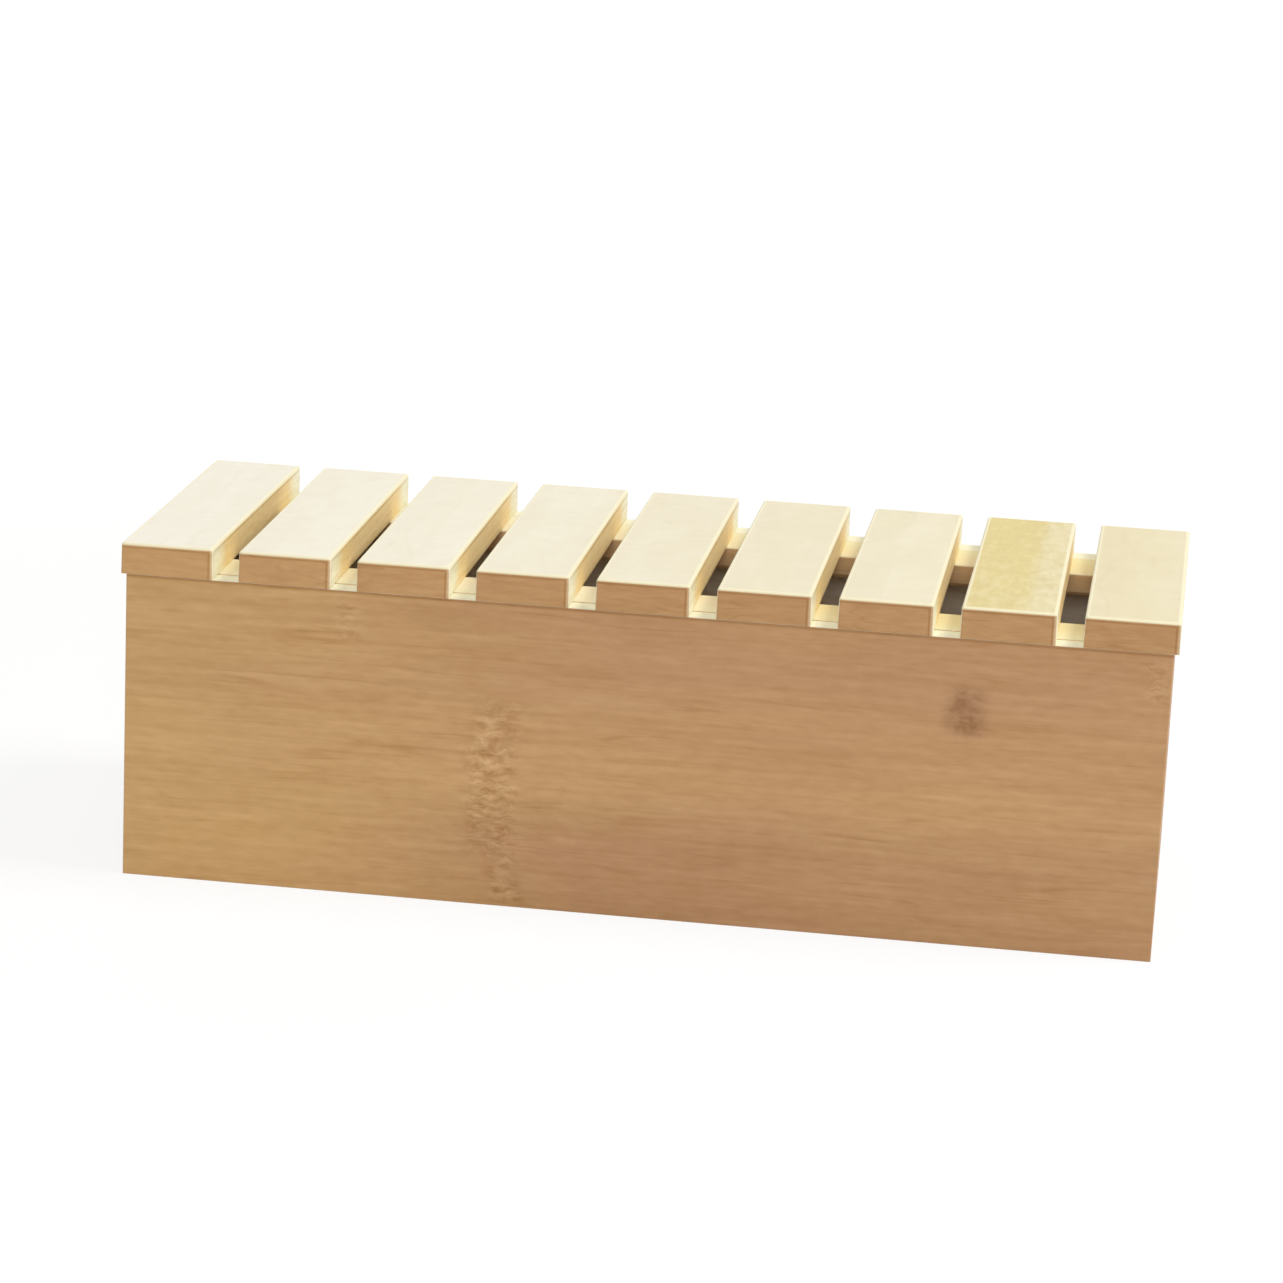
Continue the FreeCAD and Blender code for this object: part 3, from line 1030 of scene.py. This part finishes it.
@dataclass
class Lid:
    """Nine slats on two battens.

    Attributes:
        slats: How many slats the lid has.
        top_arris: The radius of the slats' upper edges, in metres.
        seat_arris: The radius of their lower edges.
        stained_slat: The number of the slat that is stained yellow.
    """

    slats: int = 9
    top_arris: float = 1.0 * MM
    seat_arris: float = 0.4 * MM
    stained_slat: int = 8

    def _slat_finish(self, number: int, middle: float) -> Bamboo:
        """The finish of one slat: paler at the left of the lid, warmer at the right, with a painted highlight
        on its upper and right-hand edges.

        Args:
            number: The slat's number, from 1 at the left.
            middle: Where its middle lies across the lid, in metres.

        Returns:
            The finish.
        """
        share = (number - 1) / (self.slats - 1)
        stain = Stain(YELLOW_STAIN, edge=middle + 4 * MM) if number == self.stained_slat else None
        return Bamboo(
            name=f"bamboo_slat_{number}", grain=Axis.Y, across=Axis.X,
            face=CREAM.towards(WARM_CREAM, share),
            face_drift=Drift(CREAM.towards(WARM_CREAM, share * 0.7), clouds=2.4, base=0.3),
            # Painted light on the flanks near the slat's ends.
            flank=SLAT_SIDE, painted_lit_ends=STRAW, end=SLAT_END.towards(ROSE_END, min(1.0, 2 * share)),
            seed=10.0 + 1.7 * number, strip=17.5 * MM, fibres=Pattern(24.0, 90.0, 520.0),
            clouds=Pattern(7.0, 45.0, 120.0), calm=0.68, painted_edge_highlight=0.85, stain=stain,
        )

    def build(self, nodes: dict[str, bpy.types.Object]) -> None:
        """Makes the slats and finishes the battens and the screws.

        Args:
            nodes: The frame's nodes by name.
        """
        for number in range(1, self.slats + 1):
            node = f"lid_slat_{number}"
            low, high = (np.array(corner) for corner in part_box(node))
            block = RoundedBlock(low, high, self.top_arris, self.seat_arris)
            finish = self._slat_finish(number, float(low[0] + high[0]) / 2)
            piece = block.surface().to_piece(f"slat_{number}", finish.material())
            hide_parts(node)
            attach(piece, "lid")
            LOG.info("slat %d: %d faces", number, len(piece.data.polygons))
        batten = Bamboo(
            name="bamboo_batten", grain=Axis.X, across=Axis.Y, face=STRAW,
            face_drift=Drift(YELLOW_STRAW, clouds=2.4, base=0.03, rise=0.9),
            # Painted highlight on the battens' upward arrises.
            flank=BATTEN_SIDE, arris=HIGHLIGHT_CREAM,
        )
        steel = ScrewSteel().material()
        for side, seed in (("front", 31.0), ("rear", 32.0)):
            finish = replace(batten, name=f"bamboo_{side}_batten", seed=seed)
            dress(nodes[f"{side}_lid_batten"], finish.material())
            dress(nodes[f"{side}_slat_screws"], steel)


def dress(node: bpy.types.Object, material: bpy.types.Material) -> None:
    """Gives every slot of a carried-over node one finish."""
    if not node.material_slots:
        node.data.materials.append(material)
    for slot in node.material_slots:
        slot.material = material


@dataclass(frozen=True)
class Lamp:
    """A square soft lamp.

    Attributes:
        name: Its name.
        place: Where it hangs, in metres.
        size: The length of its side, in metres.
        share: How bright it makes a white board that faces it at the origin, where 1 is white.
    """

    name: str
    place: tuple[float, float, float]
    size: float
    share: float

    def hang(self) -> None:
        """Hangs the lamp, facing the box.

        A lamp of power P lights a board square to it with P over pi squared and its distance squared.
        """
        data = bpy.data.lights.new(self.name, "AREA")
        data.shape = "SQUARE"
        data.size = self.size
        away = Vector(self.place)
        data.energy = self.share * math.pi**2 * away.length_squared
        lamp = bpy.data.objects.new(self.name, data)
        lamp.location = away
        lamp.rotation_euler = away.to_track_quat("Z", "Y").to_euler()
        bpy.context.scene.collection.objects.link(lamp)


@dataclass
class Studio:
    """The floor, the soft light and the camera.

    Attributes:
        camera_place: Where the camera stands, in metres.
        camera_turn: Its rotation, row by row.
        lens: Its focal length, in millimetres.
        sensor: The width of its sensor, in millimetres.
        sky: The strength of the light from all round, where 1 is white.
        lamps: The lamps.
        floor_reach: How far the floor goes, in metres.
        floor_bounce: The tone by which the floor throws light back.
        floor_white: How much of the floor's look near the box is its own glow, so that its shadow is faint.
        floor_glow: The strength of that glow, which makes the bare floor look white.
        shadow_reach: How far from the box the floor starts to be all glow, and is all glow, in metres.
    """

    camera_place: tuple[float, float, float] = (0.20030, -1.59390, 0.51301)
    camera_turn: tuple[tuple[float, float, float], ...] = (
        (0.988973, -0.07749, 0.126208),
        (0.141715, 0.247653, -0.958428),
        (0.043013, 0.965745, 0.255904),
    )
    lens: float = 120.28
    sensor: float = 36.0
    sky: float = 0.26
    lamps: tuple[Lamp, ...] = (
        Lamp("overhead", (0.0, -0.3, 2.3), 1.0, 0.1),
        Lamp("right", (1.34, 0.1, 1.91), 1.0, 0.53),
        Lamp("front", (0.25, -2.3, 0.98), 0.7, 0.27),
        Lamp("rear", (-0.9, 2.1, 1.3), 1.2, 0.1),
    )
    floor_reach: float = 12.0
    floor_bounce: Tone = Tone(246, 244, 240)
    floor_white: float = 0.78
    floor_glow: float = 1.07
    shadow_reach: tuple[float, float] = (0.45, 1.0)

    def _camera(self) -> None:
        """Places the camera as the portrait has it."""
        data = bpy.data.cameras.new("portrait")
        data.sensor_width = self.sensor
        data.lens = self.lens
        camera = bpy.data.objects.new("portrait", data)
        turn = Matrix(self.camera_turn).to_4x4()
        camera.matrix_world = Matrix.Translation(Vector(self.camera_place)) @ turn
        bpy.context.scene.collection.objects.link(camera)
        bpy.context.scene.camera = camera

    def _seen(self, graph: Graph) -> Link:
        """One for what is seen straight, or in gloss or glass, and zero for what lights the box."""
        straight, gloss, glass = (
            graph.node("ShaderNodeLightPath", {}, {}, name)
            for name in ("Is Camera Ray", "Is Glossy Ray", "Is Transmission Ray")
        )
        seen = straight + gloss + glass
        return graph.node("ShaderNodeMath", {"operation": "MINIMUM"}, {0: seen, 1: 1.0})

    def _world(self) -> None:
        """A surround that looks white and lights the box softly."""
        world = bpy.data.worlds.new("surround")
        world.use_nodes = True
        graph = Graph(world.node_tree)
        strength = self._seen(graph) * (1.0 - self.sky) + self.sky
        light = graph.node("ShaderNodeBackground", {}, {"Color": WHITE, "Strength": strength})
        graph.node("ShaderNodeOutputWorld", {}, {"Surface": light})
        bpy.context.scene.world = world

    def _floor(self) -> None:
        """A matt floor that looks white, with a faint shadow, and throws light back under the box."""
        reach = self.floor_reach
        mesh = bpy.data.meshes.new("floor")
        corners = [(-reach, -reach, 0), (reach, -reach, 0), (reach, reach, 0), (-reach, reach, 0)]
        mesh.from_pydata(corners, [], [(0, 1, 2, 3)])
        floor = bpy.data.objects.new("floor", mesh)
        bpy.context.scene.collection.objects.link(floor)
        material = bpy.data.materials.new("floor_white")
        material.use_nodes = True
        graph = Graph(material.node_tree)
        matt = graph.node("ShaderNodeBsdfDiffuse", {}, {"Color": self.floor_bounce.linear()})
        glow = graph.node("ShaderNodeEmission", {}, {"Color": WHITE, "Strength": self.floor_glow})
        place = graph.node("ShaderNodeTexCoord", {}, {}, "Object")
        distance = graph.node("ShaderNodeVectorMath", {"operation": "LENGTH"}, {0: place}, "Value")
        glowing = distance.rise(*self.shadow_reach) * (1.0 - self.floor_white) + self.floor_white
        share = self._seen(graph) * glowing
        look = graph.node("ShaderNodeMixShader", {}, {0: share, 1: matt, 2: glow})
        graph.node("ShaderNodeOutputMaterial", {}, {"Surface": look})
        mesh.materials.append(material)

    def build(self) -> None:
        """Sets up the view, the surround, the floor and the lamps."""
        self._camera()
        self._world()
        self._floor()
        for lamp in self.lamps:
            lamp.hang()
        bpy.context.scene.view_settings.view_transform = "Standard"


def main() -> None:
    """Loads the frame, dresses the box and lights it."""
    logging.basicConfig(level=logging.INFO, format="%(name)s: %(message)s")
    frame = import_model()
    Studio().build()
    Case().build(frame["nodes"])
    Lid().build(frame["nodes"])


if __name__ == "__main__":
    main()
